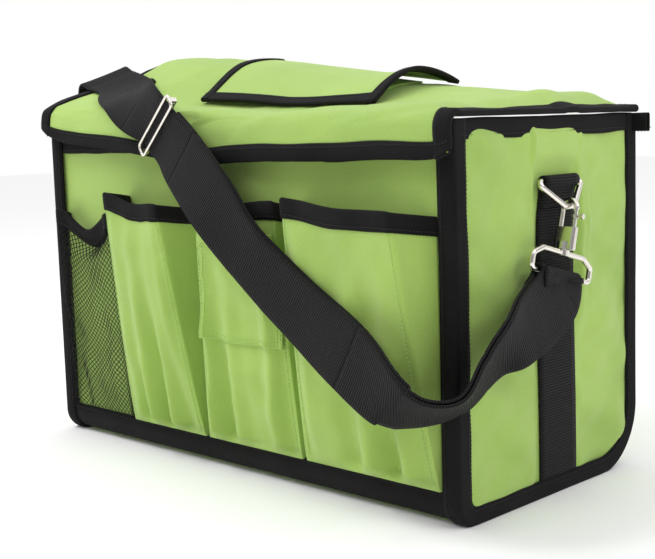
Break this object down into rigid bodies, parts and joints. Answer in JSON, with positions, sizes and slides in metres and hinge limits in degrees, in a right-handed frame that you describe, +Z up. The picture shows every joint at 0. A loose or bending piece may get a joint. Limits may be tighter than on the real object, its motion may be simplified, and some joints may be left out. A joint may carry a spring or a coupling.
{
  "type": "garden tool bag",
  "caption": "Soft satchel for garden tools with bellows pockets, a net pocket, a domed lid with a flap, and a clip-on webbing shoulder strap.",
  "frame": {"origin": "middle of the base, on the floor", "axes": "+X to the right along the width as seen from the front, +Y from front to back, +Z up"},
  "size_m": [0.5072, 0.2656, 0.3235],
  "materials": {
    "lime_cloth": "woven polyester, lightly coated",
    "binding_tape": "folded woven tape with stitched edges",
    "black_net": "knitted diamond net",
    "webbing": "ribbed polyester webbing",
    "board": "plain sheet, hidden in the base",
    "nickel": "polished nickel plate",
    "spring_steel": "drawn wire"
  },
  "bodies": {
    "bag": {"front_panel": "lime_cloth", "base_panel": "lime_cloth", "back_panel": "lime_cloth", "base_board": "board", "end_panel_right": "lime_cloth", "end_panel_left": "lime_cloth", "end_binding_right": "binding_tape", "end_binding_left": "binding_tape", "mouth_binding_right": "binding_tape", "mouth_binding_left": "binding_tape", "front_binding": "binding_tape", "back_binding": "binding_tape", "base_band": "binding_tape", "pocket_left": "lime_cloth", "pocket_middle": "lime_cloth", "pocket_right": "lime_cloth", "net_pocket": "black_net", "patch_pocket": "lime_cloth", "pocket_left_binding": "binding_tape", "pocket_middle_binding": "binding_tape", "pocket_right_binding": "binding_tape", "net_pocket_binding": "binding_tape", "end_webbing_right": "webbing", "end_webbing_left": "webbing", "shoulder_strap": "webbing"},
    "lid": {"lid": "lime_cloth", "lid_binding": "binding_tape", "lid_pocket": "lime_cloth"},
    "flap": {"lid_flap": "lime_cloth", "lid_flap_binding": "binding_tape"},
    "slider": {"strap_slider": "nickel"},
    "ring_right": {"ring_right": "nickel"},
    "hook_right": {"hook_body_right": "nickel", "trigger_spring_right": "spring_steel"},
    "bolt_right": {"trigger_right": "nickel"},
    "eye_right": {"swivel_eye_right": "nickel"},
    "ring_left": {"ring_left": "nickel"},
    "hook_left": {"hook_body_left": "nickel", "trigger_spring_left": "spring_steel"},
    "bolt_left": {"trigger_left": "nickel"},
    "eye_left": {"swivel_eye_left": "nickel"}
  },
  "joints": [
    {"name": "lid_hinge", "type": "hinge", "parent": "bag", "child": "lid", "pos_m": [0, 0.1061, 0.258], "axis": [-1, 0, 0], "range_deg": [0, 110], "deforming": ["shoulder_strap"]},
    {"name": "flap_hinge", "type": "hinge", "parent": "lid", "child": "flap", "pos_m": [-0.013, 0.06387, 0.29761], "axis": [-0.9908, 0.0013, 0.135], "range_deg": [0, 110]},
    {"name": "slider_travel", "type": "slide", "parent": "lid", "child": "slider", "axis": [-0.817, 0.1525, 0.5561], "range_m": [-0.004, 0.004], "deforming": ["shoulder_strap"]},
    {"name": "ring_swing_right", "type": "hinge", "parent": "bag", "child": "ring_right", "pos_m": [0.2191, 0.003, 0.214], "axis": [0, -1, 0], "range_deg": [0, 90]},
    {"name": "hook_swing_right", "type": "hinge", "parent": "ring_right", "child": "hook_right", "pos_m": [0.22743, 0.003, 0.19692], "axis": [0, -1, 0], "range_deg": [-2, 70]},
    {"name": "eye_swivel_right", "type": "hinge", "parent": "hook_right", "child": "eye_right", "pos_m": [0.22743, -0.00517, 0.16643], "axis": [0, 0.2588, 0.9659], "range_deg": [-11, 11]},
    {"name": "trigger_slide_right", "type": "slide", "parent": "hook_right", "child": "bolt_right", "axis": [0, -0.2588, -0.9659], "range_m": [0, 0.006], "stiffness_N_per_m": 200, "springref_m": -0.001, "deforming": ["trigger_spring_right"]},
    {"name": "ring_swing_left", "type": "hinge", "parent": "bag", "child": "ring_left", "pos_m": [-0.2191, 0.003, 0.214], "axis": [0, 1, 0], "range_deg": [0, 90]},
    {"name": "hook_swing_left", "type": "hinge", "parent": "ring_left", "child": "hook_left", "pos_m": [-0.22743, 0.003, 0.19692], "axis": [0, 1, 0], "range_deg": [-2, 70]},
    {"name": "eye_swivel_left", "type": "hinge", "parent": "hook_left", "child": "eye_left", "pos_m": [-0.22743, -0.00517, 0.16643], "axis": [0, 0.2588, 0.9659], "range_deg": [-11, 11]},
    {"name": "trigger_slide_left", "type": "slide", "parent": "hook_left", "child": "bolt_left", "axis": [0, -0.2588, -0.9659], "range_m": [0, 0.006], "stiffness_N_per_m": 200, "springref_m": -0.001, "deforming": ["trigger_spring_left"]}
  ]
}
